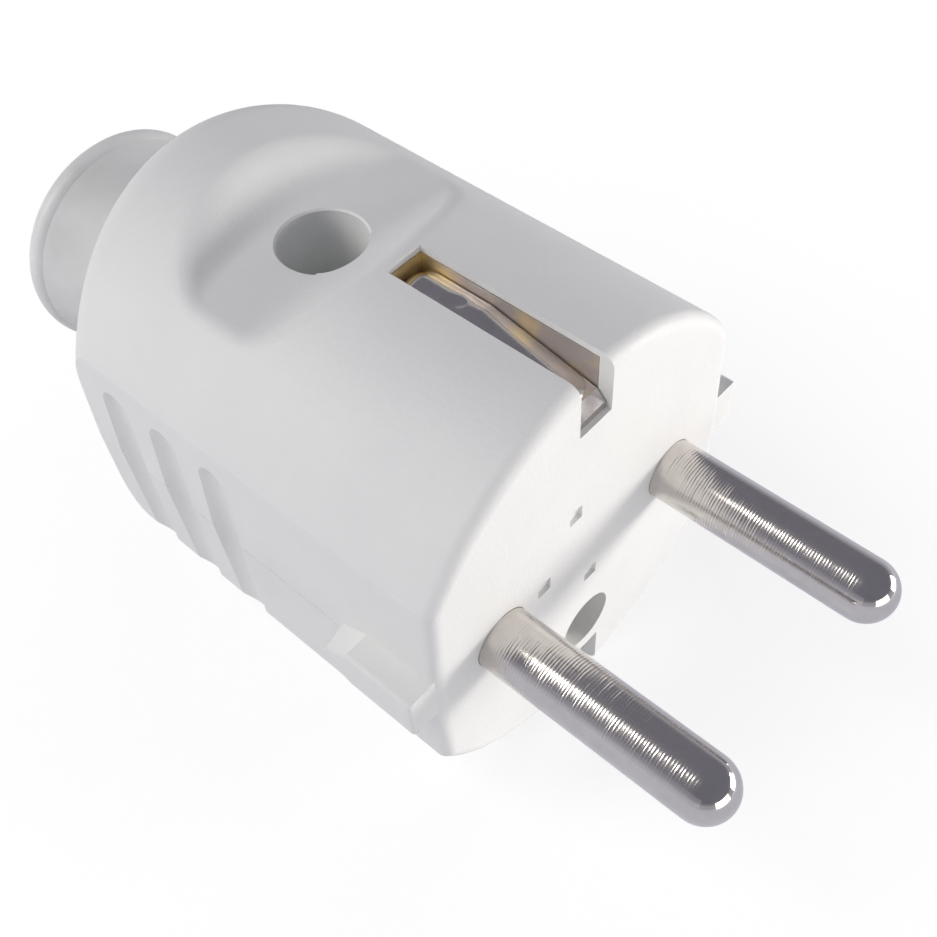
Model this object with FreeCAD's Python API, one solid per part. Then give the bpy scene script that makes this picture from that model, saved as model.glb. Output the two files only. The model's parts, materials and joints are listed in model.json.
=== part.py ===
import FreeCAD, Part
import math
import os

from FreeCAD import Vector

# Two-pole earthed mains plug, in millimetres.
# The origin is the centre of the engagement face. +X runs out along the pins,
# Y lies along the line of the two pins, and +Z points at the upper earth contact.

# Pins
pin_diameter = 4.8
pin_length = 19.0
pin_spacing = 19.0
pin_neck_diameter = 4.4
pin_hole_bevel = 0.2
collar_diameter = 8.0
collar_thickness = 1.6
barrel_diameter = 6.4
barrel_length = 10.6
wire_bore = 3.2
wire_bore_depth = 8.0

# Moulded body
body_diameter = 36.9
flat_width = 32.2
flank_draft = 2.0
body_length = 40.1
rear_bow = 4.2
wall = 2.0
face_thickness = 3.0
face_edge_radius = 1.0
ridge_radius = 0.4
rear_edge_radius = 3.4
saddle_thickness = 2.0
saddle_height = 12.0
parting_slit_height = 0.14
parting_slit_depth = 0.16

# Guide ribs in the middle of the two flat sides
rib_reach = 18.2
rib_height = 4.0
rib_setback = 0.3
rib_edge_radius = 0.3
rib_taper_start = 6.2
rib_end = 8.2
rib_end_height = 1.6
rib_end_slope = 0.6

# Grip scoops in the rear of the flat sides
scoop_count = 3
scoop_pitch = 5.4
scoop_rear_land = 8.5
scoop_width = 3.3
scoop_depth = 0.9
scoop_top = 8.0

# Thumb recess, with the cover screw in its floor
recess_depth = 3.15
recess_ramp_top = 17.1
recess_ramp_foot = 20.8
recess_ramp_radius = 4.0
recess_back_land = 8.4
recess_back_radius = 28.0
recess_back_batter = 2.2
recess_foot_radius = 2.4
recess_rim_radius = 2.0

# Cover screw and its nut
screw_offset = 0.4
screw_hole = 6.7
screw_hole_bevel = 0.15
screw_diameter = 3.5
screw_head_diameter = 6.2
screw_head_height = 2.3
screw_seat_level = 6.0
boss_diameter = 8.7
nut_across_flats = 5.9
nut_thickness = 2.6
nut_sink = 0.3

# Earth contacts
slot_width = 3.2
slot_length = 16.2
slot_floor_thickness = 0.7
slot_side_wall = 1.5
contact_thickness = 0.6
contact_setback = 0.4
contact_tip_level = 14.4
contact_lip_place = 1.1
contact_lip_level = 15.2
contact_rise_place = 9.8
contact_level = 16.95
contact_edge_radius = 0.25
contact_bend_radius = 1.6
contact_leg_end = 7.8
dimple_place = 11.0
dimple_diameter = 2.0
dimple_depth = 0.18
web_thickness = 1.0
web_end_inset = 0.7
wing_thickness = 0.5
wing_front = 1.2
rivet_diameter = 2.0
rivet_level = 9.6
rivet_head_diameter = 3.2
rivet_head_height = 0.6

# Earth pin socket behind the round hole of the face
earth_hole_diameter = 5.2
earth_hole_level = 10.0
socket_wall = 0.4
socket_stem = 2.2
socket_bottom = 1.4
socket_split_width = 0.6
socket_split_length = 8.0

# Small square pockets near the middle of the face, as (y, z) of each centre
pocket_size = 1.3
pocket_depth = 0.35
pocket_places = [(-1.7, 5.7), (-5.0, 0.7), (0.25, -3.3)]

# Terminal screws of the pins and of the earth web
terminal_screw_diameter = 3.0
terminal_head_diameter = 4.8
terminal_head_height = 1.7
terminal_head_lift = 0.2
terminal_tip_level = 0.9
driver_slot_width = 0.7
driver_slot_depth = 0.8
earth_screw_level = 2.2
earth_screw_side = -5.0
earth_screw_length = 3.6
clamp_washer_size = 6.0
clamp_washer_thickness = 0.7

# Cord clamp
clamp_bar_width = 2.6
clamp_bar_thickness = 2.4
clamp_bar_length = 18.6
clamp_bar_level = 2.6
clamp_end_land = 2.1
clamp_post_diameter = 4.0
clamp_screw_diameter = 2.4
clamp_screw_head_diameter = 4.2
clamp_screw_head_height = 1.5
clamp_screw_length = 9.0
cord_saddle_level = 4.2
cord_saddle_width = 8.0

# Cord guard
guard_bore = 8.2
guard_neck_diameter = 12.4
guard_collar_diameter = 16.0
guard_collar_thickness = 2.0
guard_collar_inset = 1.8
guard_length = 13.4
guard_rim_diameter = 19.8
guard_lip = 1.8
guard_throat_length = 4.0
guard_flare_sag = 0.75

# Clearance between a piece and the pocket or hole that holds it
fit = 0.1
thread_fit = 0.05

# How far a cutter passes the face that it opens
overcut = 1.0

# Derived sizes
body_radius = body_diameter / 2
flat_half = flat_width / 2
flank_slope = math.tan(math.radians(flank_draft))
pin_radius = pin_diameter / 2
neck_radius = pin_neck_diameter / 2
pin_offset = pin_spacing / 2
saddle_front = face_thickness + collar_thickness + fit
saddle_back = saddle_front + saddle_thickness
barrel_start = face_thickness + collar_thickness
barrel_end = barrel_start + barrel_length
terminal_screw_place = barrel_end - wire_bore_depth / 2
recess_floor = body_radius - recess_depth
recess_back = body_length - recess_back_land
scoop_first = body_length - scoop_rear_land - (scoop_count - 1) * scoop_pitch
slot_half = slot_width / 2
socket_bore = earth_hole_diameter
slot_floor = contact_tip_level - contact_thickness
slot_floor_inside = slot_floor - slot_floor_thickness
slot_block_half = slot_half + wing_thickness + slot_side_wall
web_front = slot_length
web_back = slot_length + web_thickness
web_end = body_radius - web_end_inset
slot_block_back = web_back + fit + slot_side_wall
web_left = thread_fit - slot_half
wing_inner = slot_half
wing_outer = wing_inner + wing_thickness
contact_width = slot_width - 2 * thread_fit
contact_left = -contact_width / 2
contact_leg_front = web_front - contact_thickness
guard_collar_back = body_length - guard_collar_inset
guard_collar_front = guard_collar_back - guard_collar_thickness
guard_housing_front = guard_collar_front - wall
clamp_place = guard_housing_front - clamp_screw_head_diameter / 2 - fit
clamp_post_spacing = clamp_bar_length - 2 * clamp_end_land
screw_place = (web_back + clamp_place - clamp_bar_width / 2) / 2 + screw_offset
X_BACK = Vector(-1, 0, 0)
UP = Vector(0, 0, 1)


def box(x_range, y_range, z_range):
    """Block between two values on each axis, given in either order."""
    x0, x1 = sorted(x_range)
    y0, y1 = sorted(y_range)
    z0, z1 = sorted(z_range)
    return Part.makeBox(x1 - x0, y1 - y0, z1 - z0, Vector(x0, y0, z0))


def rod_x(radius, front, back, y=0.0, z=0.0):
    """Cylinder along X from depth front to depth back behind the face."""
    return Part.makeCylinder(radius, back - front, Vector(-front, y, z), X_BACK)


def rod_z(radius, low, high, depth, y=0.0):
    """Upright cylinder between two levels, at a depth behind the face."""
    return Part.makeCylinder(radius, high - low, Vector(-depth, y, low), UP)


def extrude_polygon(points, direction):
    """Prism over a closed polygon of vectors."""
    wire = Part.makePolygon(points + [points[0]])
    return Part.Face(wire).extrude(direction)


def mirror_z(shape):
    """The same shape on the other side of the parting plane."""
    return shape.mirror(Vector(0, 0, 0), UP)


def both_sides(shape):
    """A shape together with its mirror image across the parting plane."""
    return shape.fuse(mirror_z(shape))


def flank_slab(radius, half_width, front, back):
    """Prism between the two drafted flat sides, widest at the parting plane."""
    inset = radius * flank_slope
    points = [
        Vector(-front, half_width, 0),
        Vector(-front, half_width - inset, radius),
        Vector(-front, inset - half_width, radius),
        Vector(-front, -half_width, 0),
        Vector(-front, inset - half_width, -radius),
        Vector(-front, half_width - inset, -radius),
    ]
    return extrude_polygon(points, Vector(front - back, 0, 0))


def section_prism(radius, half_width, front, back):
    """Round section with two drafted flat sides."""
    return rod_x(radius, front, back).common(flank_slab(radius, half_width, front, back))


def bowed_plan(front, back, bow, half_width, low, high):
    """Prism with a straight front, straight sides and a back that bows out."""
    corner_a = Vector(-front, -half_width, low)
    corner_b = Vector(-front, half_width, low)
    corner_c = Vector(bow - back, half_width, low)
    corner_d = Vector(bow - back, -half_width, low)
    edges = [
        Part.LineSegment(corner_a, corner_b).toShape(),
        Part.LineSegment(corner_b, corner_c).toShape(),
        Part.Arc(corner_c, Vector(-back, 0, low), corner_d).toShape(),
        Part.LineSegment(corner_d, corner_a).toShape(),
    ]
    return Part.Face(Part.Wire(edges)).extrude(Vector(0, 0, high - low))


def edges_where(shape, test):
    """Edges whose bounding box passes a test."""
    return [edge for edge in shape.Edges if test(edge.BoundBox)]


def bowed_barrel(inset):
    """Round barrel with a bowed rear end, drawn in by an inset."""
    radius = body_radius - inset
    back = body_length - inset
    bow_radius = (flat_half ** 2 + rear_bow ** 2) / (2 * rear_bow) - inset
    plan_half = radius + overcut
    plan_bow = bow_radius - math.sqrt(bow_radius ** 2 - plan_half ** 2)
    plan = bowed_plan(0, back, plan_bow, plan_half, -plan_half, plan_half)
    return rod_x(radius, 0, back).common(plan)


def rear_rounded_blank():
    """Bowed barrel with a rounded rear edge, cut a little wider than the flat sides."""
    half = (body_radius + flat_half) / 2
    blank = box((-body_length, 0), (-half, half), (-body_radius, body_radius))
    blank = bowed_barrel(0).common(blank)

    def is_rear(bounds):
        return bounds.XMax < -body_length / 2 and bounds.YLength > half / 2

    return blank.makeFillet(rear_edge_radius, edges_where(blank, is_rear))


def rounded_body():
    """Outer form of the closed body, without its slots, scoops and recesses."""
    body = section_prism(body_radius, flat_half, 0, body_length)
    ridge_low = body_radius / 4

    def is_ridge(bounds):
        off_middle = min(bounds.YMin * bounds.YMax, bounds.ZMin * bounds.ZMax) > ridge_low ** 2
        return off_middle and bounds.XLength > body_length / 2

    def is_front(bounds):
        return bounds.XMin > -ridge_radius / 100

    body = body.makeFillet(ridge_radius, edges_where(body, is_ridge))
    body = body.makeFillet(face_edge_radius, edges_where(body, is_front))
    return body.common(rear_rounded_blank())


def guide_rib(side):
    """Rib on a flat side, with a rear end that tapers and leans into the flank."""
    root = side * (flat_half - wall / 2)
    reach = side * rib_reach
    half = rib_height / 2
    end_half = rib_end_height / 2
    rib = box((-rib_taper_start, -rib_setback), (root, reach), (-half, half))

    def is_outer(bounds):
        return min(abs(bounds.YMin), abs(bounds.YMax)) > rib_reach - rib_edge_radius

    def is_joint(bounds):
        return bounds.XMax < rib_edge_radius - rib_taper_start

    outer = [edge for edge in rib.Edges if is_outer(edge.BoundBox) and not is_joint(edge.BoundBox)]
    rib = rib.makeFillet(rib_edge_radius, outer)
    front = [
        Vector(-rib_taper_start, root, half),
        Vector(-rib_taper_start, reach, half - rib_edge_radius),
        Vector(-rib_taper_start, reach, rib_edge_radius - half),
        Vector(-rib_taper_start, root, -half),
    ]
    back = [
        Vector(-rib_end - rib_end_slope, root, end_half),
        Vector(-rib_end, reach, end_half),
        Vector(-rib_end, reach, -end_half),
        Vector(-rib_end - rib_end_slope, root, -end_half),
    ]
    wires = [Part.makePolygon(points + [points[0]]) for points in (front, back)]
    return rib.fuse(Part.makeLoft(wires, True, True))


def grip_scoops(side):
    """Upright scoops in the rear of a flat side, round at the top and open at the bottom."""
    radius = (scoop_width ** 2 / 4 + scoop_depth ** 2) / (2 * scoop_depth)
    centre = side * (flat_half + radius - scoop_depth)
    straight = scoop_top - radius
    cutters = []
    for index in range(scoop_count):
        depth = scoop_first + index * scoop_pitch
        cutter = rod_z(radius, -body_radius, straight, depth, centre)
        cutters.append(cutter.fuse(Part.makeSphere(radius, Vector(-depth, centre, straight))))
    return cutters


def thumb_recess():
    """Cutter for the upper thumb recess: ramp, flat floor and a battered rear wall that bows out."""
    height = 2 * recess_depth
    ramp_run = recess_ramp_foot - recess_ramp_top
    run = ramp_run * height / recess_depth
    axis_depth = recess_back - recess_back_radius
    far_back = recess_back + recess_back_radius
    corners = [
        Vector(-recess_ramp_foot, -body_radius, recess_floor),
        Vector(run - recess_ramp_foot, -body_radius, recess_floor + height),
        Vector(-far_back, -body_radius, recess_floor + height),
        Vector(-far_back, -body_radius, recess_floor),
    ]
    wedge = extrude_polygon(corners, Vector(0, body_diameter, 0))
    foot_radius = recess_back_radius - recess_back_batter
    mouth_radius = foot_radius + recess_back_batter * height / recess_depth
    bowl = Part.makeCone(foot_radius, mouth_radius, height, Vector(-axis_depth, 0, recess_floor))

    def is_ramp_foot(bounds):
        return abs(bounds.XMin + recess_ramp_foot) + bounds.XLength + bounds.ZLength < ramp_run / 10

    def is_bowl_foot(bounds):
        return bounds.ZMax < recess_floor + recess_depth / 10

    wedge = wedge.makeFillet(recess_ramp_radius, edges_where(wedge, is_ramp_foot))
    bowl = bowl.makeFillet(recess_foot_radius, edges_where(bowl, is_bowl_foot))
    return wedge.common(bowl)


def cavity():
    """Hollow of the closed body, less what the moulded shells keep inside it."""
    far = body_radius
    front = face_thickness
    hollow = bowed_barrel(wall).common(flank_slab(far, flat_half - wall, front, body_length))
    slot_block = box((-slot_block_back, 0), (-slot_block_half, slot_block_half), (slot_floor_inside, far))
    recess_block = box((-recess_back - wall, -recess_ramp_top), (-far, far), (recess_floor - wall, far))
    saddle_levels = (-saddle_height / 2, saddle_height / 2)
    saddle_wall = box((-saddle_back, -saddle_front), (-far, far), saddle_levels)
    boss = rod_z(boss_diameter / 2, -far, far, screw_place)
    cord_saddle = box(
        (-clamp_place - clamp_bar_width / 2, -clamp_place + clamp_bar_width / 2),
        (-cord_saddle_width / 2, cord_saddle_width / 2),
        (-far, -cord_saddle_level),
    )
    housing_radius = guard_collar_diameter / 2 + thread_fit + wall
    guard_housing = rod_x(housing_radius, guard_housing_front, body_length)
    kept = [both_sides(slot_block), both_sides(recess_block)]
    kept += [saddle_wall, boss, cord_saddle, guard_housing]
    for piece in kept:
        hollow = hollow.cut(piece)
    return hollow


def pin_clearances():
    """Holes through the face and the saddle wall for the two pins."""
    cutters = []
    for side in (-1, 1):
        y = side * pin_offset
        mouth = Vector(0, y, 0)
        hole = neck_radius + thread_fit
        cutters.append(rod_x(hole, -overcut, face_thickness, y))
        cutters.append(Part.makeCone(pin_radius + thread_fit, hole, pin_hole_bevel, mouth, X_BACK))
        cutters.append(rod_x(barrel_diameter / 2 + fit, face_thickness, saddle_back, y))
    return cutters


def slot_cutters():
    """Upper and lower earth slots, the passage of the contact leg and the pockets of the bridge."""
    slot = box((-slot_length, overcut), (-slot_half, slot_half), (slot_floor, body_radius + overcut))
    leg_room = contact_bend_radius + contact_thickness
    passage = box(
        (-web_back - fit, leg_room - web_front),
        (-slot_half, slot_half),
        (slot_floor_inside - overcut, web_end + fit),
    )
    web_pocket = box(
        (-web_back - fit, -web_front),
        (-slot_half, wing_outer + thread_fit),
        (slot_floor_inside - overcut, web_end + fit),
    )
    wing_pocket = box(
        (-web_front, thread_fit - wing_front),
        (wing_inner, wing_outer + thread_fit),
        (slot_floor, web_end + fit),
    )
    return [both_sides(cutter) for cutter in (slot, passage, web_pocket, wing_pocket)]


def face_pockets():
    """Small square pockets in the face."""
    half = pocket_size / 2
    return [
        box((-pocket_depth, overcut), (y - half, y + half), (z - half, z + half))
        for y, z in pocket_places
    ]


def guard_seat():
    """Hole of the rear wall with the groove for the collar of the cord guard."""
    hole_radius = guard_neck_diameter / 2 + thread_fit
    hole = rod_x(hole_radius, guard_housing_front - overcut, body_length + overcut)
    collar_radius = guard_collar_diameter / 2 + thread_fit
    groove = rod_x(collar_radius, guard_collar_front - thread_fit, guard_collar_back + thread_fit)
    return hole.fuse(groove)


def parting_slits():
    """Hairline slits that show where the two shells meet on the flat sides."""
    half = parting_slit_height / 2
    inner = flat_half - parting_slit_depth
    return [
        box((-body_length, -rib_end), (side * inner, side * body_radius), (-half, half))
        for side in (-1, 1)
    ]


def hollow_body():
    """Body of both shells together, before it is parted."""
    body = rounded_body().cut(both_sides(thumb_recess()))

    def is_recess_rim(bounds):
        between = bounds.XMin > -recess_back - overcut and bounds.XMax < overcut - recess_ramp_top
        return between and abs(bounds.YMin + bounds.YMax) > recess_rim_radius

    body = body.makeFillet(recess_rim_radius, edges_where(body, is_recess_rim))
    for side in (-1, 1):
        body = body.fuse(guide_rib(side))
    cutters = [cavity(), guard_seat()]
    cutters += grip_scoops(-1) + grip_scoops(1)
    cutters += pin_clearances() + slot_cutters() + face_pockets() + parting_slits()
    for cutter in cutters:
        body = body.cut(cutter)
    return body


def half_space(sign):
    """Block that holds everything on one side of the parting plane."""
    reach = body_length + guard_length
    return box((-reach, reach), (-reach, reach), (0, sign * reach))


def make_upper_shell(body):
    """Upper shell, with the deep hole for the cover screw in its thumb recess."""
    shell = body.common(half_space(1))
    shell = shell.cut(rod_z(screw_hole / 2, screw_seat_level, body_radius, screw_place))
    shell = shell.cut(rod_z(screw_diameter / 2 + fit, -overcut, screw_seat_level, screw_place))
    bevel = Part.makeCone(
        screw_hole / 2,
        screw_hole / 2 + screw_hole_bevel,
        screw_hole_bevel,
        Vector(-screw_place, 0, recess_floor - screw_hole_bevel),
    )
    return shell.cut(bevel)


def hexagon(across_flats, low, high):
    """Upright hexagonal prism on the cover screw's axis."""
    radius = across_flats / math.sqrt(3)
    corners = []
    for step in range(6):
        angle = math.radians(60 * step)
        corners.append(Vector(radius * math.cos(angle) - screw_place, radius * math.sin(angle), low))
    return extrude_polygon(corners, Vector(0, 0, high - low))


def nut_levels():
    """Lower and upper face of the cover nut, which sits in the lower thumb recess."""
    low = nut_sink - recess_floor
    return low, low + nut_thickness


def make_lower_shell(body):
    """Lower shell, with the earth pin's hole, the nut pocket and the clamp posts."""
    shell = body.common(half_space(-1))
    skin = wall / 2
    inside = section_prism(body_radius - skin, flat_half - skin, face_thickness, guard_housing_front)
    hole_radius = clamp_screw_diameter / 2 + thread_fit
    hole_low = clamp_bar_level + clamp_bar_thickness - clamp_screw_length - fit
    hole_high = clamp_bar_level + overcut
    for side in (-1, 1):
        y = side * clamp_post_spacing / 2
        post = rod_z(clamp_post_diameter / 2, -body_radius, clamp_bar_level, clamp_place, y)
        shell = shell.fuse(post.common(inside))
        shell = shell.cut(rod_z(hole_radius, hole_low, hole_high, clamp_place, y))
    shell = shell.cut(rod_x(earth_hole_diameter / 2, -overcut, face_thickness, 0, -earth_hole_level))
    sleeve_radius = socket_bore / 2 + socket_wall
    sleeve_room = rod_x(sleeve_radius + thread_fit, face_thickness, web_front, 0, -earth_hole_level)
    shell = shell.cut(sleeve_room)
    nut_high = nut_levels()[1]
    shell = shell.cut(hexagon(nut_across_flats + 2 * fit, -body_radius, nut_high))
    return shell.cut(rod_z(screw_diameter / 2 + fit, nut_high, overcut, screw_place))


def driver_slot(depth, y, top):
    """Cutter for the slot in an upright screw's head."""
    half = driver_slot_width / 2
    reach = screw_head_diameter
    bottom = top - driver_slot_depth
    return box((-depth - reach, reach - depth), (y - half, y + half), (bottom, top + overcut))


def upright_screw(depth, y, seat, shank, tip, head, head_height):
    """Slotted cheese-head screw that points down: shank and head diameters, three levels."""
    body = rod_z(shank / 2, tip, seat, depth, y)
    body = body.fuse(rod_z(head / 2, seat, seat + head_height, depth, y))
    return body.cut(driver_slot(depth, y, seat + head_height))


def make_pin(side):
    """Turned contact pin: domed tip, neck in the face, collar and screw terminal."""
    y = side * pin_offset
    straight = pin_length - pin_radius
    pin = rod_x(pin_radius, -straight, 0, y)
    pin = pin.fuse(Part.makeSphere(pin_radius, Vector(straight, y, 0)))
    pin = pin.fuse(rod_x(neck_radius, 0, face_thickness, y))
    pin = pin.fuse(rod_x(collar_diameter / 2, face_thickness, barrel_start, y))
    pin = pin.fuse(rod_x(barrel_diameter / 2, barrel_start, barrel_end, y))
    pin = pin.cut(rod_x(wire_bore / 2, barrel_end - wire_bore_depth, barrel_end, y))
    hole = rod_z(terminal_screw_diameter / 2 + thread_fit, 0, barrel_diameter, terminal_screw_place, y)
    return pin.cut(hole).removeSplitter()


def make_terminal_screws():
    """One clamping screw in the barrel of each pin."""
    seat = barrel_diameter / 2 + terminal_head_lift
    screws = [
        upright_screw(
            terminal_screw_place,
            side * pin_offset,
            seat,
            terminal_screw_diameter,
            terminal_tip_level,
            terminal_head_diameter,
            terminal_head_height,
        )
        for side in (-1, 1)
    ]
    return Part.makeCompound(screws)


def make_earth_bridge():
    """Brass strap across the plug, with a screw pad and a wing along each slot's side wall."""
    web = box((-web_back, -web_front), (web_left, wing_outer), (-web_end, web_end))
    wing = box((-web_front, -wing_front), (wing_inner, wing_outer), (slot_floor, web_end))
    pad_half = clamp_washer_size / 2
    pad_levels = (earth_screw_level - pad_half, earth_screw_level + pad_half)
    pad = box((-web_back, -web_front), (earth_screw_side - pad_half, 0), pad_levels)
    bridge = web.fuse(pad).fuse(both_sides(wing))
    holes = [
        (rivet_diameter, 0, rivet_level),
        (socket_stem, 0, -earth_hole_level),
        (terminal_screw_diameter, earth_screw_side, earth_screw_level),
    ]
    for diameter, y, z in holes:
        radius = diameter / 2 + thread_fit
        bridge = bridge.cut(rod_x(radius, web_front - overcut, web_back + overcut, y, z))
    return bridge.removeSplitter()


def contact_outline():
    """Points along the upper side of an earth contact, from its tip to the end of its leg."""
    radius = contact_bend_radius
    return [
        Vector(-contact_setback, 0, contact_tip_level),
        Vector(-contact_lip_place, 0, contact_lip_level),
        Vector(-contact_rise_place, 0, contact_level),
        Vector(radius - web_front, 0, contact_level),
        Vector(-web_front, 0, contact_level - radius),
        Vector(-web_front, 0, contact_leg_end),
    ]


def contact_profile():
    """Side face of an earth contact: lip, rising plate, bend and leg."""
    top = contact_outline()
    drop = Vector(0, 0, -contact_thickness)
    inward = Vector(contact_thickness, 0, 0)
    bottom = [point + drop for point in top[:4]] + [point + inward for point in top[4:]]
    centre = Vector(top[3].x, 0, top[4].z)
    slant = Vector(-math.sqrt(0.5), 0, math.sqrt(0.5))
    outer_mid = centre + slant * contact_bend_radius
    inner_mid = centre + slant * (contact_bend_radius - contact_thickness)
    edges = []
    for side, bend_mid in ((top, outer_mid), (bottom, inner_mid)):
        edges += [Part.LineSegment(a, b).toShape() for a, b in zip(side[:3], side[1:4])]
        edges.append(Part.Arc(side[3], bend_mid, side[4]).toShape())
        edges.append(Part.LineSegment(side[4], side[5]).toShape())
    for a, b in ((top[0], bottom[0]), (top[5], bottom[5])):
        edges.append(Part.LineSegment(a, b).toShape())
    return Part.Face(Part.Wire(Part.__sortEdges__(edges)))


def make_earth_contact(sign, fastener_diameter, fastener_level):
    """Plated strip in a slot, with rounded long edges, bent down to the web."""
    strip = contact_profile().extrude(Vector(0, contact_width, 0))
    strip.translate(Vector(0, contact_left, 0))
    top = contact_outline()
    near = contact_thickness / 10

    def is_on_top(vertex):
        return any(abs(vertex.X - p.x) + abs(vertex.Z - p.z) < near for p in top)

    def is_long_edge(edge):
        return edge.BoundBox.YLength < near and all(is_on_top(vertex) for vertex in edge.Vertexes)

    strip = strip.makeFillet(contact_edge_radius, [edge for edge in strip.Edges if is_long_edge(edge)])
    ball = ((dimple_diameter / 2) ** 2 + dimple_depth ** 2) / (2 * dimple_depth)
    ball_centre = Vector(-dimple_place, 0, contact_level + ball - dimple_depth)
    strip = strip.cut(Part.makeSphere(ball, ball_centre))
    hole_front = contact_leg_front - overcut
    strip = strip.cut(rod_x(fastener_diameter / 2 + thread_fit, hole_front, web_back, 0, fastener_level))
    return strip if sign > 0 else mirror_z(strip)


def make_earth_rivet():
    """Rivet that holds the upper contact's leg to the web."""
    head = rivet_head_diameter / 2
    rivet = rod_x(rivet_diameter / 2, contact_leg_front, web_back, 0, rivet_level)
    rivet = rivet.fuse(rod_x(head, contact_leg_front - rivet_head_height, contact_leg_front, 0, rivet_level))
    return rivet.fuse(rod_x(head, web_back, web_back + rivet_head_height, 0, rivet_level))


def make_earth_socket():
    """Split sleeve for the earth pin of a socket outlet, riveted to the web by its stem."""
    z = -earth_hole_level
    outer = socket_bore / 2 + socket_wall
    sleeve = rod_x(outer, face_thickness, contact_leg_front, 0, z)
    sleeve = sleeve.cut(rod_x(socket_bore / 2, face_thickness, contact_leg_front - socket_bottom, 0, z))
    half = socket_split_width / 2
    split_back = face_thickness + socket_split_length
    sleeve = sleeve.cut(box((-split_back, -face_thickness), (-outer, outer), (z - half, z + half)))
    sleeve = sleeve.fuse(rod_x(socket_stem / 2, contact_leg_front, web_back, 0, z))
    return sleeve.fuse(rod_x(rivet_head_diameter / 2, web_back, web_back + rivet_head_height, 0, z))


def make_earth_screw():
    """Terminal screw of the earth web, pointing forward."""
    y = earth_screw_side
    z = earth_screw_level
    seat = web_back + clamp_washer_thickness
    head_back = seat + terminal_head_height
    screw = rod_x(terminal_screw_diameter / 2, seat - earth_screw_length, seat, y, z)
    screw = screw.fuse(rod_x(terminal_head_diameter / 2, seat, head_back, y, z))
    half = driver_slot_width / 2
    reach = terminal_head_diameter
    slot_depths = (-head_back - overcut, driver_slot_depth - head_back)
    return screw.cut(box(slot_depths, (y - reach, y + reach), (z - half, z + half)))


def make_clamp_washer():
    """Square washer under the head of the earth screw."""
    half = clamp_washer_size / 2
    y = earth_screw_side
    z = earth_screw_level
    back = web_back + clamp_washer_thickness
    washer = box((-back, -web_back), (y - half, y + half), (z - half, z + half))
    return washer.cut(rod_x(terminal_screw_diameter / 2 + fit, web_back - overcut, back + overcut, y, z))


def make_cover_screw():
    """Long screw that draws the two shells together."""
    return upright_screw(
        screw_place,
        0,
        screw_seat_level,
        screw_diameter,
        nut_sink - recess_floor,
        screw_head_diameter,
        screw_head_height,
    )


def make_cover_nut():
    """Hexagonal nut held in the lower shell."""
    low, high = nut_levels()
    nut = hexagon(nut_across_flats, low, high)
    return nut.cut(rod_z(screw_diameter / 2 + thread_fit, low - overcut, high + overcut, screw_place))


def make_cord_clamp():
    """Bar that presses the cord onto the saddle of the lower shell."""
    half_length = clamp_bar_length / 2
    half_width = clamp_bar_width / 2
    top = clamp_bar_level + clamp_bar_thickness
    bar = box(
        (-clamp_place - half_width, half_width - clamp_place),
        (-half_length, half_length),
        (clamp_bar_level, top),
    )
    for side in (-1, 1):
        y = side * clamp_post_spacing / 2
        eye = rod_z(clamp_post_diameter / 2, clamp_bar_level, top, clamp_place, y)
        bar = bar.fuse(eye)
    for side in (-1, 1):
        y = side * clamp_post_spacing / 2
        bar = bar.cut(rod_z(clamp_screw_diameter / 2 + fit, 0, top + overcut, clamp_place, y))
    return bar.removeSplitter()


def make_clamp_screws():
    """The two screws of the cord clamp."""
    seat = clamp_bar_level + clamp_bar_thickness
    screws = [
        upright_screw(
            clamp_place,
            side * clamp_post_spacing / 2,
            seat,
            clamp_screw_diameter,
            seat - clamp_screw_length,
            clamp_screw_head_diameter,
            clamp_screw_head_height,
        )
        for side in (-1, 1)
    ]
    return Part.makeCompound(screws)


def make_cord_guard():
    """Bell-mouthed guard: neck, collar in the rear wall, flare and rolled rim."""
    neck = guard_neck_diameter / 2
    collar = guard_collar_diameter / 2
    rim = guard_rim_diameter / 2
    bore = guard_bore / 2
    end = body_length + guard_length
    flare_end = end - guard_lip
    shoulder = rim - guard_lip / 4
    mouth = rim - guard_lip
    flare_mid = Vector(-(body_length + flare_end) / 2, 0, neck + guard_flare_sag)
    rim_mid = Vector(-(flare_end + end) / 2, 0, rim)
    throat_end = body_length + guard_throat_length
    throat = Vector(-throat_end, 0, bore)
    mouth_mid = Vector(-(throat_end + end) / 2, 0, (bore + mouth) / 2 - guard_flare_sag)
    outline = [
        Vector(-guard_housing_front, 0, bore),
        Vector(-guard_housing_front, 0, neck),
        Vector(-guard_collar_front, 0, neck),
        Vector(-guard_collar_front, 0, collar),
        Vector(-guard_collar_back, 0, collar),
        Vector(-guard_collar_back, 0, neck),
        Vector(-body_length, 0, neck),
    ]
    flare_start = outline[-1]
    flare_stop = Vector(-flare_end, 0, shoulder)
    lip_stop = Vector(-end, 0, mouth)
    edges = [Part.LineSegment(a, b).toShape() for a, b in zip(outline, outline[1:])]
    edges.append(Part.Arc(flare_start, flare_mid, flare_stop).toShape())
    edges.append(Part.Arc(flare_stop, rim_mid, lip_stop).toShape())
    edges.append(Part.Arc(lip_stop, mouth_mid, throat).toShape())
    edges.append(Part.LineSegment(throat, outline[0]).toShape())
    return Part.Face(Part.Wire(edges)).revolve(Vector(0, 0, 0), Vector(1, 0, 0), 360)


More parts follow.
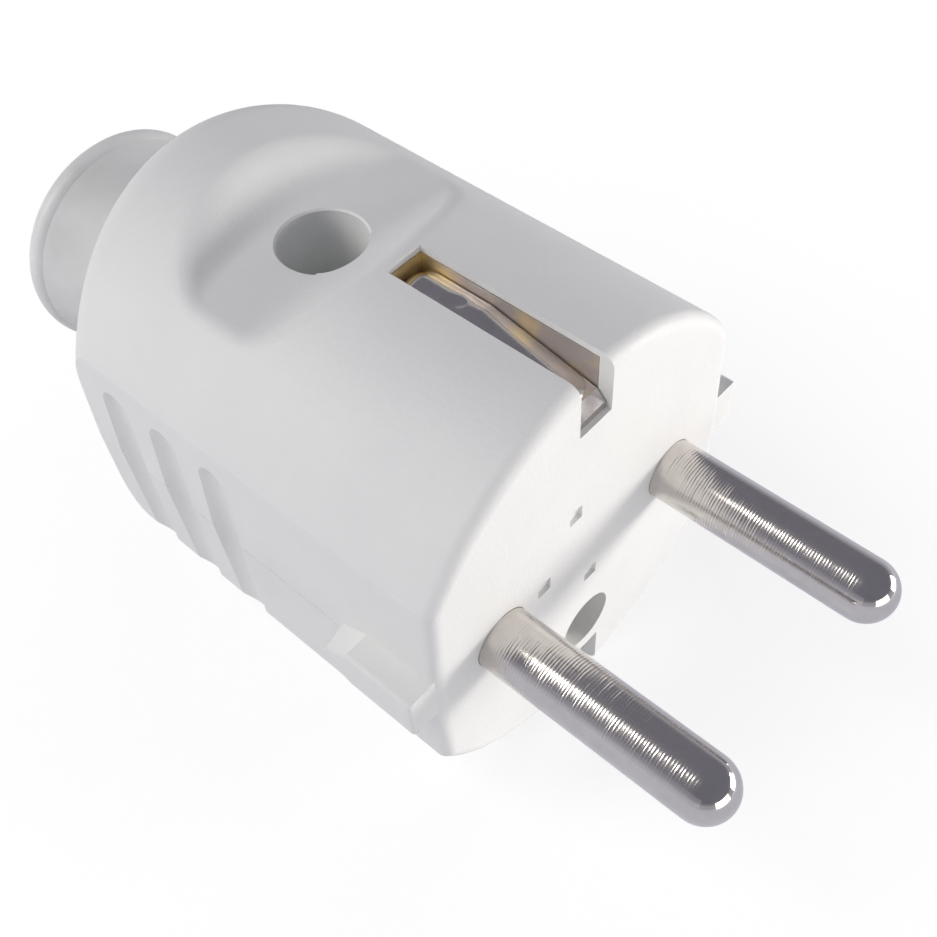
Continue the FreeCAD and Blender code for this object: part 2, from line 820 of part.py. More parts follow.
def build():
    """All nodes by name."""
    body = hollow_body()
    return {
        "upper_shell": make_upper_shell(body),
        "lower_shell": make_lower_shell(body),
        "cord_guard": make_cord_guard(),
        "line_pin": make_pin(1),
        "neutral_pin": make_pin(-1),
        "terminal_screws": make_terminal_screws(),
        "earth_bridge": make_earth_bridge(),
        "upper_earth_contact": make_earth_contact(1, rivet_diameter, rivet_level),
        "lower_earth_contact": make_earth_contact(-1, socket_stem, earth_hole_level),
        "earth_contact_rivet": make_earth_rivet(),
        "earth_pin_socket": make_earth_socket(),
        "earth_screw": make_earth_screw(),
        "earth_clamp_washer": make_clamp_washer(),
        "cover_screw": make_cover_screw(),
        "cover_nut": make_cover_nut(),
        "cord_clamp": make_cord_clamp(),
        "cord_clamp_screws": make_clamp_screws(),
    }


def main():
    os.makedirs("parts", exist_ok=True)
    for name, shape in build().items():
        shape.exportStep("parts/" + name + ".step")
        print(name, "solids", len(shape.Solids), "valid", shape.isValid(), "volume", round(shape.Volume, 2))


main()
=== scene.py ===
"""Studio scene of an earthed mains plug.

It gives the moulded, plated and brass pieces of the solid model their finishes, adds the pressed crowns of
the earth strips, and sets a white floor, soft light and the camera. It is laid out as an add-on and run as a
script.
"""

import json

import bpy
import numpy as np
from bpy.props import FloatProperty, FloatVectorProperty, PointerProperty
from mathutils import Matrix, Vector


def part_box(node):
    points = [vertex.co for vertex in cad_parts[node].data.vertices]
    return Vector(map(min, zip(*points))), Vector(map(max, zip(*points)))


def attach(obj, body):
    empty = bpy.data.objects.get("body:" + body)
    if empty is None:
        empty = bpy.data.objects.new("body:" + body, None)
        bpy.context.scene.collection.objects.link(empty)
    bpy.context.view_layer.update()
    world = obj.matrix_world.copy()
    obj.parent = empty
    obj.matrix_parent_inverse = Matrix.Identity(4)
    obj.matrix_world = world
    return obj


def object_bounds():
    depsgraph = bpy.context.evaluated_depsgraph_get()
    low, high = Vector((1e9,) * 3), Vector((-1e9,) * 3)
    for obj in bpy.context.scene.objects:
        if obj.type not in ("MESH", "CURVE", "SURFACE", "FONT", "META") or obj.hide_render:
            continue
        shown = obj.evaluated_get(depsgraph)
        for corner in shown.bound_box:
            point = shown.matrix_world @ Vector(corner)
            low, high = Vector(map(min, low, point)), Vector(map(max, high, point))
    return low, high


bl_info = {
    "name": "Earthed plug studio",
    "version": (1, 0, 0),
    "blender": (4, 5, 0),
    "location": "View3D > Sidebar > Plug",
    "description": "Finishes and stages an earthed mains plug around its solid model",
    "category": "Object",
}

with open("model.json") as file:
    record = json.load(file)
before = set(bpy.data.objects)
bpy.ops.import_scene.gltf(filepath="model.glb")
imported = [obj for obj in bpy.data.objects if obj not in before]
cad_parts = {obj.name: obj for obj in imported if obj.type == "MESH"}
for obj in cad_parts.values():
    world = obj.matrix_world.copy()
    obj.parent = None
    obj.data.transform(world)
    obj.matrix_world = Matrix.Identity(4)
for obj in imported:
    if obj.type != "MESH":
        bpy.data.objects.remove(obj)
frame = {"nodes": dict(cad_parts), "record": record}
solid_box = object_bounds()
solid_middle = (solid_box[0] + solid_box[1]) / 2
floor_level = solid_box[0].z

MM = 0.001
WHITE = (1.0, 1.0, 1.0)
MOUNTS = {mount["name"]: mount for mount in frame["record"]["mounts"]}

SHELL_NODES = ("upper_shell", "lower_shell", "cord_clamp")
GUARD_NODES = ("cord_guard",)
PIN_NODES = ("line_pin", "neutral_pin")
STRIP_NODES = ("upper_earth_contact", "lower_earth_contact")
BRASS_NODES = ("earth_bridge", "earth_contact_rivet", "earth_pin_socket", "earth_clamp_washer")
SCREW_NODES = ("terminal_screws", "earth_screw", "cover_screw", "cover_nut", "cord_clamp_screws")

# Patterns of the finishes, in marks per metre
CLOUDS = 160.0
PLATE_PATCHES = 400.0
SMEARS = 1400.0
WAVES = 500.0
SCUFFS = 900.0
RING_DRIFT = 2600.0
TARNISH_PATCHES = 260.0
ROLLING_LINES = 6000.0

# Points on the crown's grid
BEND_STEPS = 12
ALONG_STEPS = 120
ACROSS_STEPS = 33

# Lamps around the plug, by the direction that each stands in
LAMP_DISTANCE = 0.3
WARM = (1.0, 0.957, 0.905)
LAMPS = {
    "key": {"towards": (0.7, 0.7, 0.075), "size": (0.16, 0.08), "tint": WARM},
    "front": {"towards": (0.99, -0.1, 0.075), "size": (0.2, 0.1), "tint": WARM},
    "fill": {"towards": (-0.46, -0.56, 0.69), "size": (0.08, 0.26), "tint": (1.0, 0.975, 0.935)},
    "side": {"towards": (-0.1, -0.95, 0.22), "size": (0.4, 0.16), "tint": (0.85, 0.85, 1.0)},
}


def colour(name, description, default):
    """A colour property."""
    return FloatVectorProperty(
        name=name, description=description, default=default, subtype="COLOR", size=3, min=0.0, max=1.0
    )


def length(name, description, default):
    """A length property in metres."""
    return FloatProperty(
        name=name, description=description, default=default, unit="LENGTH", subtype="DISTANCE", precision=6
    )


def place(name, description, default):
    """A point in the plug's frame, in metres."""
    return FloatVectorProperty(
        name=name, description=description, default=default, unit="LENGTH", subtype="XYZ", size=3
    )


def share(name, description, default, top=1.0):
    """A plain number from nought to a top value."""
    return FloatProperty(name=name, description=description, default=default, min=0.0, max=top)


def power(name, description, default):
    """A lamp's power in watts."""
    return share(name, description, default, top=100.0)


class PlugPlastic(bpy.types.PropertyGroup):
    """Moulded plastic of the shells and of the cord guard."""

    shell: colour("Shell", "Colour of the moulded body", (0.876, 0.885, 0.862))
    shade: colour("Shell shade", "Colour of the faint cloudy patches of the plastic", (0.846, 0.855, 0.838))
    guard: colour("Guard", "Colour of the cord guard", (0.72, 0.717, 0.692))
    grain: length("Grain", "Size of the shells' spark-eroded grain", 0.3 * MM)
    grain_depth: length("Grain depth", "Height of the shells' grain", 0.022 * MM)
    guard_grain: length("Guard grain", "Size of the guard's grain", 0.6 * MM)
    guard_grain_depth: length("Guard grain depth", "Height of the guard's grain", 0.0044 * MM)
    shell_roughness: share("Shell roughness", "Roughness of the shells", 0.5)
    guard_roughness: share("Guard roughness", "Roughness of the guard", 0.4)


class PlugMetal(bpy.types.PropertyGroup):
    """Plated and bare metal."""

    nickel: colour("Nickel", "Colour of the plated pins and strips", (0.68, 0.645, 0.61))
    brass: colour("Brass", "Colour of the bare brass", (0.98, 0.79, 0.43))
    # The tarnish colour is also the painted shade of the brass towards the open face; the two distances
    # below set where that painted shade starts and where it is full.
    tarnish_and_shade: colour("Tarnish", "Colour of the brass where it has dulled", (0.68, 0.62, 0.59))
    painted_shade_back: length("Painted shade back", "Distance behind the face where brass starts to dull", 15.5 * MM)
    painted_shade_front: length("Painted shade front", "Distance behind the face where it has dulled fully", 12.0 * MM)
    zinc: colour("Zinc", "Colour of the plated screws", (0.58, 0.585, 0.59))
    ring_pitch: length("Ring pitch", "Distance between the turning marks of the pins", 0.23 * MM)
    ring_depth: length("Ring depth", "Depth of the turning marks", 0.005 * MM)
    wave_depth: length("Wave depth", "Depth of the faint waves in the plating", 0.004 * MM)
    line_depth: length("Line depth", "Depth of the brass's rolling lines", 0.002 * MM)
    tip_roughness: share("Tip roughness", "Roughness of the pins' polished tips", 0.08)
    strip_roughness: share("Strip roughness", "Roughness of the earth strips", 0.15)
    screw_roughness: share("Screw roughness", "Roughness of the screws and the nut", 0.3)


class PlugStrip(bpy.types.PropertyGroup):
    """Pressed crown along the top of each earth strip."""

    front: length("Front", "Distance of the crown's front end behind the face", 1.3 * MM)
    knee: length("Knee", "Distance of the strip's knee behind the face", 9.8 * MM)
    bend: length("Bend", "Outer radius of the strip's rear bend", 1.6 * MM)
    front_level: length("Front level", "Height of the strip at the crown's front end", 15.24 * MM)
    half_width: length("Half width", "Half of the crown's width", 1.45 * MM)
    rise: length("Rise", "Height of the crown over the strip", 0.4 * MM)
    root: length("Root", "How deep the crown sits in the strip", 0.05 * MM)
    dimple_place: length("Dimple place", "Distance of the dimple behind the face", 11.4 * MM)
    dimple_depth: length("Dimple depth", "Depth of the dimple", 0.2 * MM)
    dimple_radius: length("Dimple radius", "Size of the dimple", 0.6 * MM)


class PlugStage(bpy.types.PropertyGroup):
    """Floor, lamps and camera."""

    floor: colour("Floor", "Colour of the floor", (0.9, 0.9, 0.9))
    floor_size: length("Floor size", "Side of the floor", 3.0)
    shadow: share("Shadow", "How much of the floor's shading the camera sees near the plug", 0.4)
    shadow_near: length("Shadow near", "Distance from the plug's middle where it starts to fade", 0.025)
    shadow_far: length("Shadow far", "Distance from the plug's middle where the floor is plain white", 0.07)
    lift: share("Lift", "White that makes up for the floor's own shading near the plug", 0.2)
    table_glow: share("Table glow", "Share of even light in what the floor sends up", 0.1)
    table_tint: colour("Table tint", "Colour of the floor in reflections", (0.67, 0.69, 0.82))
    ceiling: colour("Ceiling", "Light from the room's ceiling", (0.2, 0.2, 0.245))
    horizon: colour("Horizon", "Light from the pale walls around the table", (0.45, 0.45, 0.5))
    wall_top: share("Wall top", "Rise of the view at which the walls start to turn into the ceiling", 0.12)
    ceiling_edge: share("Ceiling edge", "Rise of the view above which there is only ceiling", 0.3)
    key_level: power("Key level", "Power of the key light in watts", 0.56)
    front_level: power("Front level", "Power of the light before the face in watts", 0.24)
    fill_level: power("Fill level", "Power of the light over the grip in watts", 0.47)
    side_level: power("Side level", "Power of the wide side light in watts", 0.03)
    camera_place: place("Camera", "Where the camera stands", (0.029299, -0.040645, 0.073645))
    camera_aim: place("Aim", "Point that the camera looks at", (-0.011434, -0.000161, 0.0))
    camera_roll: FloatProperty(
        name="Roll", description="Turn of the camera about its view", default=-0.07457, subtype="ANGLE"
    )
    lens: FloatProperty(name="Lens", description="Focal length in millimetres", default=47.61)


# Shader nodes


def feed(tree, socket, value):
    """Links an input to an output socket, or writes a number or a colour into it."""
    if isinstance(value, bpy.types.NodeSocket):
        tree.links.new(value, socket)
    elif hasattr(value, "__len__"):
        socket.default_value = (*value, 1.0)
    else:
        socket.default_value = value


def feed_all(tree, node, values):
    """Feeds the inputs of a node, given by name."""
    for name, value in values.items():
        feed(tree, node.inputs[name], value)


def node_of(tree, kind):
    """The first node of a kind in a tree."""
    return next(node for node in tree.nodes if node.type == kind)


def math_node(tree, operation, first, second=0.0):
    """A Math node on two values, each a socket or a number; returns its output."""
    node = tree.nodes.new("ShaderNodeMath")
    node.operation = operation
    for socket, value in zip(node.inputs, (first, second)):
        feed(tree, socket, value)
    return node.outputs[0]


def noise_node(tree, vector, scale, detail):
    """A Noise Texture on a vector socket; returns its value."""
    node = tree.nodes.new("ShaderNodeTexNoise")
    feed_all(tree, node, {"Vector": vector, "Scale": scale, "Detail": detail})
    return node.outputs[0]


def ramp_node(tree, value, low, high, to_low=0.0, to_high=1.0):
    """A Map Range that carries low to high onto another range, clamped; returns its value."""
    node = tree.nodes.new("ShaderNodeMapRange")
    for socket, number in zip(node.inputs, (value, low, high, to_low, to_high)):
        feed(tree, socket, number)
    return node.outputs[0]


def mix_node(tree, factor, first, second):
    """A mix of two colours, each a socket or three numbers, by a factor socket; returns its colour."""
    node = tree.nodes.new("ShaderNodeMix")
    node.data_type = "RGBA"
    feed(tree, node.inputs["Factor"], factor)
    ends = [socket for socket in node.inputs if socket.type == "RGBA"]
    for socket, value in zip(ends, (first, second)):
        feed(tree, socket, value)
    return next(socket for socket in node.outputs if socket.type == "RGBA")


def bump_node(tree, height, distance):
    """A Bump on a height socket; distance is the height's full depth."""
    node = tree.nodes.new("ShaderNodeBump")
    feed_all(tree, node, {"Height": height, "Distance": distance, "Strength": 1.0})
    return node.outputs[0]


def axis_value(tree, vector, axis):
    """One coordinate of a vector socket."""
    node = tree.nodes.new("ShaderNodeSeparateXYZ")
    feed(tree, node.inputs[0], vector)
    return node.outputs[axis]


def stretched(tree, vector, scale):
    """A vector socket scaled along its three axes."""
    node = tree.nodes.new("ShaderNodeMapping")
    node.inputs["Scale"].default_value = scale
    feed(tree, node.inputs["Vector"], vector)
    return node.outputs[0]


def object_vector(tree):
    """Object coordinates, in metres."""
    return tree.nodes.new("ShaderNodeTexCoord").outputs["Object"]


def mix_shaders(tree, factor, first, second, output):
    """Sends a mix of two shader nodes to the output node, by a factor socket."""
    node = tree.nodes.new("ShaderNodeMixShader")
    for socket, value in zip(node.inputs, (factor, first.outputs[0], second.outputs[0])):
        feed(tree, socket, value)
    feed(tree, output.inputs["Surface"], node.outputs[0])


# Finishes


def new_group(name, inputs):
    """A shader node group that puts out a finish; returns it with its two end nodes."""
    group = bpy.data.node_groups.new(name, "ShaderNodeTree")
    for socket, kind in inputs.items():
        group.interface.new_socket(socket, in_out="INPUT", socket_type=f"NodeSocket{kind}")
    for socket, kind in {"Colour": "Color", "Roughness": "Float", "Normal": "Vector"}.items():
        group.interface.new_socket(socket, in_out="OUTPUT", socket_type=f"NodeSocket{kind}")
    return group, group.nodes.new("NodeGroupInput"), group.nodes.new("NodeGroupOutput")


def moulded_group():
    """Spark-eroded plastic: cloudy tint, uneven gloss and a fine even grain."""
    inputs = {
        "Vector": "Vector",
        "Colour": "Color",
        "Shade": "Color",
        "Grain scale": "Float",
        "Grain depth": "Float",
        "Roughness": "Float",
    }
    group, source, result = new_group("moulded_plastic", inputs)
    given = source.outputs
    clouds = ramp_node(group, noise_node(group, given["Vector"], CLOUDS, detail=3.0), low=0.3, high=0.7)
    grain = noise_node(group, given["Vector"], given["Grain scale"], detail=2.0)
    uneven = ramp_node(group, grain, low=0.3, high=0.7, to_low=-0.05, to_high=0.05)
    finish = {
        "Colour": mix_node(group, clouds, given["Colour"], given["Shade"]),
        "Roughness": math_node(group, "ADD", given["Roughness"], uneven),
        "Normal": bump_node(group, grain, given["Grain depth"]),
    }
    feed_all(group, result, finish)
    return group


def polished_group():
    """Rolled or plated metal: tint that drifts between two colours, smears in the gloss, faint waves."""
    inputs = {
        "Vector": "Vector",
        "Colour": "Color",
        "Dull colour": "Color",
        "Roughness": "Float",
        "Wave depth": "Float",
    }
    group, source, result = new_group("polished_metal", inputs)
    given = source.outputs
    patches = noise_node(group, given["Vector"], PLATE_PATCHES, detail=4.0)
    dull = ramp_node(group, patches, low=0.42, high=0.68)
    smears = noise_node(group, given["Vector"], SMEARS, detail=3.0)
    smeared = ramp_node(group, smears, low=0.3, high=0.75, to_high=0.08)
    waves = noise_node(group, given["Vector"], WAVES, detail=1.0)
    finish = {
        "Colour": mix_node(group, dull, given["Colour"], given["Dull colour"]),
        "Roughness": math_node(group, "ADD", given["Roughness"], smeared),
        "Normal": bump_node(group, waves, given["Wave depth"]),
    }
    feed_all(group, result, finish)
    return group


def built_once(name, build):
    """The node group of that name, built when it is first asked for."""
    return bpy.data.node_groups.get(name) or build()


def dulled(tint, part):
    """A colour at part of its brightness."""
    return [channel * part for channel in tint]


def material_tree(name):
    """A new material with a Principled shader; returns material, tree and shader."""
    material = bpy.data.materials.new(name)
    material.use_nodes = True
    tree = material.node_tree
    return material, tree, node_of(tree, "BSDF_PRINCIPLED")


def place_group(tree, group, shader, values):
    """Puts a group into a material on Object coordinates and links its finish to the shader."""
    node = tree.nodes.new("ShaderNodeGroup")
    node.node_tree = group
    feed_all(tree, node, {"Vector": object_vector(tree), **values})
    finish = {
        "Base Color": node.outputs["Colour"],
        "Roughness": node.outputs["Roughness"],
        "Normal": node.outputs["Normal"],
    }
    feed_all(tree, shader, finish)


def plastic_material(name, values):
    """Moulded plastic with the given tint, grain and roughness."""
    material, tree, shader = material_tree(name)
    place_group(tree, built_once("moulded_plastic", moulded_group), shader, values)
    feed_all(tree, shader, {"IOR": 1.49, "Specular IOR Level": 0.4})
    return material


def plated_material(name, values):
    """Plated metal with the given tint, duller tint, roughness and waves."""
    material, tree, shader = material_tree(name)
    place_group(tree, built_once("polished_metal", polished_group), shader, values)
    feed_all(tree, shader, {"Metallic": 1.0})
    return material


def turned_pin_material(metal):
    """Nickel over turned brass: fine rings across the pin, fading to a polished tip.

    Their height is sin(2 pi x / pitch) with a strength that wanders along the pin and a little around it.
    """
    material, tree, shader = material_tree("turned_nickel")
    vector = object_vector(tree)
    x = axis_value(tree, vector, "X")
    drift = noise_node(tree, stretched(tree, vector, (1.0, 0.15, 0.15)), RING_DRIFT, detail=2.0)
    turns = math_node(tree, "MULTIPLY", x, 2.0 * np.pi / metal.ring_pitch)
    wander = math_node(tree, "MULTIPLY", drift, 6.0)
    wave = math_node(tree, "SINE", math_node(tree, "ADD", turns, wander))
    strength = ramp_node(tree, drift, low=0.35, high=0.7, to_low=0.1, to_high=1.0)
    rings = math_node(tree, "MULTIPLY", wave, strength)
    tip = MOUNTS["line_pin"]["dims"]["length_mm"] * MM
    turned = ramp_node(tree, x, low=tip - 0.4 * MM, high=tip + 0.5 * MM, to_low=1.0, to_high=0.0)
    scuffs = noise_node(tree, vector, SCUFFS, detail=4.0)
    scuffed = ramp_node(tree, scuffs, low=0.3, high=0.7)
    worn = ramp_node(tree, scuffs, low=0.35, high=0.75, to_low=0.1, to_high=0.16)
    finish = {
        "Base Color": mix_node(tree, scuffed, metal.nickel, dulled(metal.nickel, 0.93)),
        "Roughness": math_node(tree, "ADD", math_node(tree, "MULTIPLY", worn, turned), metal.tip_roughness),
        "Normal": bump_node(tree, math_node(tree, "MULTIPLY", rings, turned), metal.ring_depth),
        "Metallic": 1.0,
    }
    feed_all(tree, shader, finish)
    return material


def brass_with_painted_shade_material(metal):
    """Rolled brass with faint lines: bright deep in the plug, dulled in patches towards the open face; the
    dulling towards the face is painted shade, and the patches are tarnish.
    """
    material, tree, shader = material_tree("rolled_brass")
    vector = object_vector(tree)
    # Painted shade: the brass darkens towards the open face and stays bright on the rear wall, as if lit
    # there; the noise patches stand for tarnish.
    painted_shade_to_face = ramp_node(tree, axis_value(tree, vector, "X"), -metal.painted_shade_back, -metal.painted_shade_front)
    patches = ramp_node(tree, noise_node(tree, vector, TARNISH_PATCHES, detail=3.0), low=0.28, high=0.48)
    dull = math_node(tree, "MULTIPLY", painted_shade_to_face, patches)
    lines = noise_node(tree, stretched(tree, vector, (0.08, 1.0, 1.0)), ROLLING_LINES, detail=2.0)
    finish = {
        "Base Color": mix_node(tree, dull, metal.brass, metal.tarnish_and_shade),
        "Roughness": ramp_node(tree, lines, low=0.3, high=0.7, to_low=0.4, to_high=0.5),
        "Normal": bump_node(tree, lines, metal.line_depth),
        "Metallic": 0.75,
    }
    feed_all(tree, shader, finish)
    return material


def give_material(names, material):
    """Gives the named CAD nodes one material."""
    for name in names:
        node = frame["nodes"][name]
        node.data.materials.clear()
        node.data.materials.append(material)


class PLUG_OT_shells(bpy.types.Operator):
    """Finish the two shells and the cord clamp in grained white plastic"""

    bl_idname = "plug.shells"
    bl_label = "Shells"

    def execute(self, context):
        plastic = context.scene.plug_plastic
        values = {
            "Colour": plastic.shell,
            "Shade": plastic.shade,
            "Grain scale": 1.0 / plastic.grain,
            "Grain depth": plastic.grain_depth,
            "Roughness": plastic.shell_roughness,
        }
        give_material(SHELL_NODES, plastic_material("shell_plastic", values))
        return {"FINISHED"}


class PLUG_OT_guard(bpy.types.Operator):
    """Finish the cord guard in smooth satin plastic"""

    bl_idname = "plug.guard"
    bl_label = "Cord guard"

    def execute(self, context):
        plastic = context.scene.plug_plastic
        values = {
            "Colour": plastic.guard,
            "Shade": plastic.shade,
            "Grain scale": 1.0 / plastic.guard_grain,
            "Grain depth": plastic.guard_grain_depth,
            "Roughness": plastic.guard_roughness,
        }
        give_material(GUARD_NODES, plastic_material("guard_plastic", values))
        return {"FINISHED"}


class PLUG_OT_pins(bpy.types.Operator):
    """Finish the contact pins in turned nickel"""

    bl_idname = "plug.pins"
    bl_label = "Pins"

    def execute(self, context):
        give_material(PIN_NODES, turned_pin_material(context.scene.plug_metal))
        return {"FINISHED"}


# Crowns of the earth strips


def strip_line(strip, node):
    """Line along the top of a strip: a slope up to the knee, a level run and the rear bend.

    Each row is (x, z) at an even step of length, for a strip over the pins; the level is the node's highest.
    """
    low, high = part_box(node)
    level = max(high.z, -low.z)
    back = low.x + strip.bend
    turn = np.linspace(0.0, np.pi / 3, BEND_STEPS)
    arc = np.stack([back - strip.bend * np.sin(turn), level - strip.bend * (1.0 - np.cos(turn))], axis=1)
    corners = np.concatenate([[(-strip.front, strip.front_level), (-strip.knee, level)], arc])
    step = np.hypot(*np.diff(corners, axis=0).T)
    run = np.concatenate([[0.0], np.cumsum(step)])
    even = np.linspace(0.0, run[-1], ALONG_STEPS)
    line = np.stack([np.interp(even, run, corners[:, 0]), np.interp(even, run, corners[:, 1])], axis=1)
    return line, even


def crown_points(strip, node):
    """Rings of the crown: P(s) + n(s) h(s, v), with h = rise (1 - v v) e(s) - dimple, and the foot below.

    e(s) is a rounded end, the root of 1 - q q over the last half width; v runs across from -1 to 1.
    """
    line, even = strip_line(strip, node)
    along = np.gradient(line, even, axis=0)
    along /= np.linalg.norm(along, axis=1)[:, None]
    normal = np.stack([along[:, 1], -along[:, 0]], axis=1)
    blunt = 0.02
    to_end = np.minimum(even, even[-1] - even) / strip.half_width
    ends = np.sqrt(1.0 - (1.0 - np.clip(to_end, blunt, 1.0)) ** 2)
    across = np.linspace(-1.0, 1.0, ACROSS_STEPS)
    y = strip.half_width * ends[:, None] * across
    far = ((line[:, 0] + strip.dimple_place)[:, None] ** 2 + y ** 2) / strip.dimple_radius ** 2
    height = strip.rise * ends[:, None] * (1.0 - across ** 2) - strip.dimple_depth * np.exp(-far)
    height = np.maximum(height, 0.0)
    foot = np.full((len(line), 1), -strip.root)
    y = np.concatenate([y, y[:, -1:], y[:, :1]], axis=1)
    height = np.concatenate([height, foot, foot], axis=1)
    x = line[:, :1] + normal[:, :1] * height
    z = line[:, 1:] + normal[:, 1:] * height
    return np.stack([x, y, z], axis=-1)


def crown_piece(node, strip, material):
    """Closed crown on one strip: rings joined by quads, with two flat ends; mirrored under the pins."""
    rings = crown_points(strip, node)
    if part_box(node)[1].z < 0.0:
        rings = rings * np.array([1.0, 1.0, -1.0])
        rings = rings[:, ::-1]
    count, around = rings.shape[:2]
    first = np.arange(count - 1)[:, None] * around + np.arange(around)
    beside = np.arange(count - 1)[:, None] * around + np.roll(np.arange(around), -1)
    faces = np.stack([first, first + around, beside + around, beside], axis=-1).reshape(-1, 4).tolist()
    faces.append(list(range(around)))
    faces.append(list(range(count * around - 1, (count - 1) * around - 1, -1)))
    mesh = bpy.data.meshes.new(f"{node}_crown")
    mesh.from_pydata(rings.reshape(-1, 3).tolist(), [], faces)
    mesh.polygons.foreach_set("use_smooth", np.ones(len(faces), dtype=bool))
    mesh.materials.append(material)
    piece = bpy.data.objects.new(f"{node}_crown", mesh)
    bpy.context.scene.collection.objects.link(piece)
    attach(piece, "root")


class PLUG_OT_earth(bpy.types.Operator):
    """Finish the earth strips and their crowns in bright nickel, and the pieces behind them in brass"""

    bl_idname = "plug.earth"
    bl_label = "Earth contacts"

    def execute(self, context):
        metal = context.scene.plug_metal
        values = {
            "Colour": metal.nickel,
            "Dull colour": dulled(metal.nickel, 0.9),
            "Roughness": metal.strip_roughness,
            "Wave depth": metal.wave_depth,
        }
        nickel = plated_material("bright_nickel", values)
        give_material(STRIP_NODES, nickel)
        for node in STRIP_NODES:
            crown_piece(node, context.scene.plug_strip, nickel)
        give_material(BRASS_NODES, brass_with_painted_shade_material(metal))
        return {"FINISHED"}


class PLUG_OT_screws(bpy.types.Operator):
    """Finish the screws and the nut in zinc plate"""

    bl_idname = "plug.screws"
    bl_label = "Screws"

    def execute(self, context):
        metal = context.scene.plug_metal
        values = {
            "Colour": metal.zinc,
            "Dull colour": dulled(metal.zinc, 0.8),
            "Roughness": metal.screw_roughness,
            "Wave depth": metal.wave_depth,
        }
        give_material(SCREW_NODES, plated_material("zinc_plate", values))
        return {"FINISHED"}


# Stage


def floor_object(stage):
    """Flat square under the plug: the grid (u, v) on the level of the lowest point of the solids."""
    side = np.linspace(-0.5, 0.5, 3) * stage.floor_size
    u, v = np.meshgrid(side, side, indexing="ij")
    points = np.stack([u, v, np.full_like(u, floor_level)], axis=-1).reshape(-1, 3)
    corner = np.add.outer(np.arange(2) * 3, np.arange(2)).ravel()
    faces = np.stack([corner, corner + 3, corner + 4, corner + 1], axis=1)
    mesh = bpy.data.meshes.new("floor")
    mesh.from_pydata(points.tolist(), [], faces.tolist())
    floor = bpy.data.objects.new("floor", mesh)
    bpy.context.scene.collection.objects.link(floor)
    return floor


def seen_rays(tree, path):
    """One for rays of the camera, of reflections and of glass, otherwise nought."""
    seen = math_node(tree, "MAXIMUM", path["Is Camera Ray"], path["Is Glossy Ray"])
    return math_node(tree, "MAXIMUM", seen, path["Is Transmission Ray"])


def near_plug(tree, stage):
    """One on the floor under the plug's middle, fading to nought where the floor is plain white."""
    distance = tree.nodes.new("ShaderNodeVectorMath")
    distance.operation = "DISTANCE"
    feed(tree, distance.inputs[0], object_vector(tree))
    distance.inputs[1].default_value = (solid_middle.x, solid_middle.y, floor_level)
    return ramp_node(tree, distance.outputs["Value"], stage.shadow_near, stage.shadow_far, 1.0, 0.0)


def floor_material(stage):
    """Pale floor that the camera sees as white, with the plug's soft shadow near it."""
    material, tree, shader = material_tree("floor_white")
    feed_all(tree, shader, {"Base Color": stage.floor, "Roughness": 1.0, "Specular IOR Level": 0.0})
    path = tree.nodes.new("ShaderNodeLightPath").outputs
    camera_ray = path["Is Camera Ray"]
    near = near_plug(tree, stage)
    lift = math_node(tree, "MULTIPLY", math_node(tree, "MULTIPLY", near, camera_ray), stage.lift)
    glow = tree.nodes.new("ShaderNodeEmission")
    feed(tree, glow.inputs["Color"], mix_node(tree, camera_ray, stage.table_tint, WHITE))
    feed(tree, glow.inputs["Strength"], math_node(tree, "ADD", lift, 1.0))
    shaded = math_node(tree, "MAXIMUM", near, math_node(tree, "SUBTRACT", 1.0, camera_ray))
    kept = math_node(tree, "SUBTRACT", 1.0, math_node(tree, "MULTIPLY", shaded, stage.shadow))
    seen = math_node(tree, "MULTIPLY", seen_rays(tree, path), kept)
    factor = math_node(tree, "MAXIMUM", seen, stage.table_glow)
    mix_shaders(tree, factor, shader, glow, node_of(tree, "OUTPUT_MATERIAL"))
    return material


def room_light(stage):
    """World: pale walls below a dim cool ceiling, and white where the camera looks past the floor."""
    world = bpy.data.worlds.new("room")
    bpy.context.scene.world = world
    world.use_nodes = True
    tree = world.node_tree
    room = node_of(tree, "BACKGROUND")
    height = axis_value(tree, tree.nodes.new("ShaderNodeTexCoord").outputs["Generated"], "Z")
    rise = ramp_node(tree, height, stage.wall_top, stage.ceiling_edge)
    feed(tree, room.inputs["Color"], mix_node(tree, rise, stage.horizon, stage.ceiling))
    white = tree.nodes.new("ShaderNodeBackground")
    feed(tree, white.inputs["Color"], WHITE)
    camera_ray = tree.nodes.new("ShaderNodeLightPath").outputs["Is Camera Ray"]
    mix_shaders(tree, camera_ray, room, white, node_of(tree, "OUTPUT_WORLD"))


def soft_lamp(name, towards, size, tint, level):
    """Area lamp that shines at the plug's middle from a direction."""
    data = bpy.data.lights.new(name, "AREA")
    data.shape = "RECTANGLE"
    data.size, data.size_y = size
    data.energy = level
    data.color = tint
    lamp = bpy.data.objects.new(name, data)
    lamp.location = solid_middle + Vector(towards).normalized() * LAMP_DISTANCE
    lamp.rotation_euler = (lamp.location - solid_middle).to_track_quat("Z", "Y").to_euler()
    bpy.context.scene.collection.objects.link(lamp)


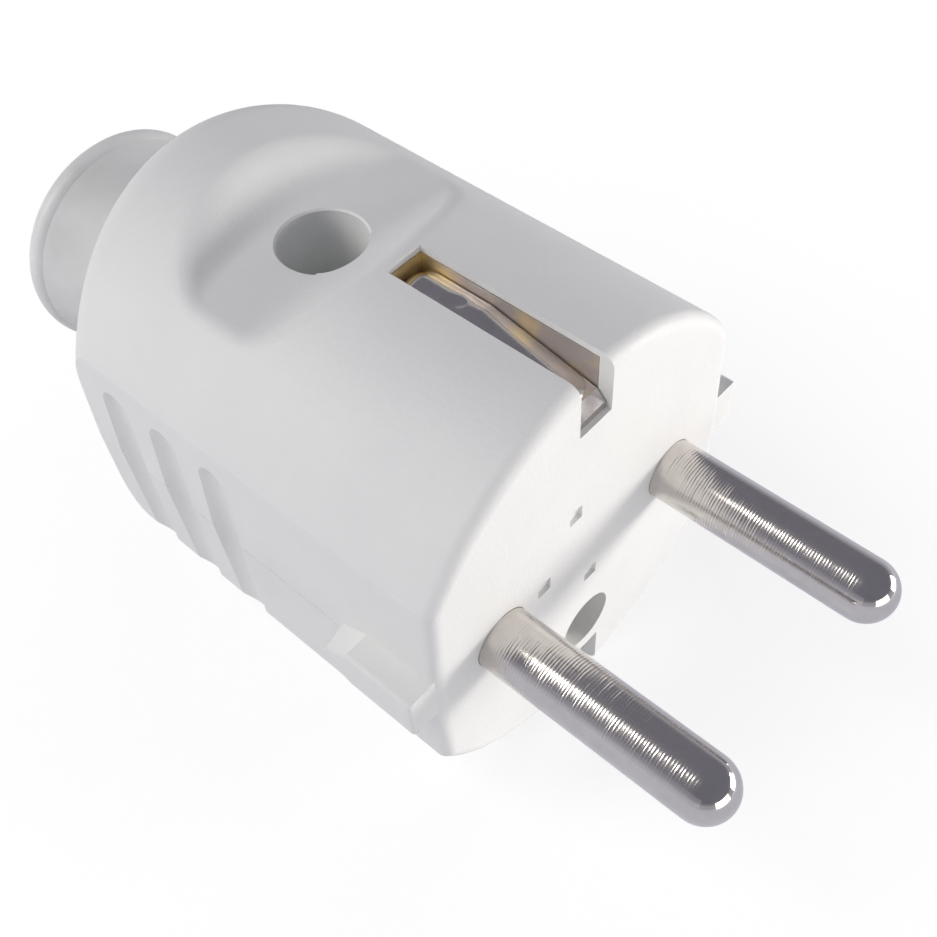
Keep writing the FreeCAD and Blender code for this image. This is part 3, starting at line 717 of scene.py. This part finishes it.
def studio_camera(stage):
    """Camera that looks from its place at its aim, with a small roll."""
    data = bpy.data.cameras.new("camera")
    data.lens = stage.lens
    data.sensor_width = 36.0
    data.clip_start = MM
    camera = bpy.data.objects.new("camera", data)
    spot = Vector(stage.camera_place)
    view = (Vector(stage.camera_aim) - spot).normalized()
    turn = view.to_track_quat("-Z", "Y").to_matrix() @ Matrix.Rotation(stage.camera_roll, 3, "Z")
    camera.matrix_world = Matrix.Translation(spot) @ turn.to_4x4()
    bpy.context.scene.collection.objects.link(camera)
    bpy.context.scene.camera = camera


class PLUG_OT_stage(bpy.types.Operator):
    """Set the floor, the lamps, the room's light and the camera"""

    bl_idname = "plug.stage"
    bl_label = "Stage"

    def execute(self, context):
        stage = context.scene.plug_stage
        context.scene.view_settings.view_transform = "Standard"
        floor = floor_object(stage)
        floor.data.materials.append(floor_material(stage))
        room_light(stage)
        for name, lamp in LAMPS.items():
            soft_lamp(name, **lamp, level=getattr(stage, f"{name}_level"))
        studio_camera(stage)
        return {"FINISHED"}


class PLUG_PT_panel(bpy.types.Panel):
    """Lists the steps that finish and stage the plug"""

    bl_label = "Earthed plug"
    bl_space_type = "VIEW_3D"
    bl_region_type = "UI"
    bl_category = "Plug"

    def draw(self, context):
        for step in STEPS:
            self.layout.operator(step.bl_idname)


GROUPS = {
    "plug_plastic": PlugPlastic,
    "plug_metal": PlugMetal,
    "plug_strip": PlugStrip,
    "plug_stage": PlugStage,
}
STEPS = (PLUG_OT_shells, PLUG_OT_guard, PLUG_OT_pins, PLUG_OT_earth, PLUG_OT_screws, PLUG_OT_stage)


def register():
    for name, group in GROUPS.items():
        bpy.utils.register_class(group)
        setattr(bpy.types.Scene, name, PointerProperty(type=group))
    for step in STEPS:
        bpy.utils.register_class(step)
    bpy.utils.register_class(PLUG_PT_panel)


def unregister():
    bpy.utils.unregister_class(PLUG_PT_panel)
    for step in reversed(STEPS):
        bpy.utils.unregister_class(step)
    for name, group in GROUPS.items():
        delattr(bpy.types.Scene, name)
        bpy.utils.unregister_class(group)


def main():
    register()
    bpy.ops.plug.shells()
    bpy.ops.plug.guard()
    bpy.ops.plug.pins()
    bpy.ops.plug.earth()
    bpy.ops.plug.screws()
    bpy.ops.plug.stage()


if __name__ == "__main__":
    main()
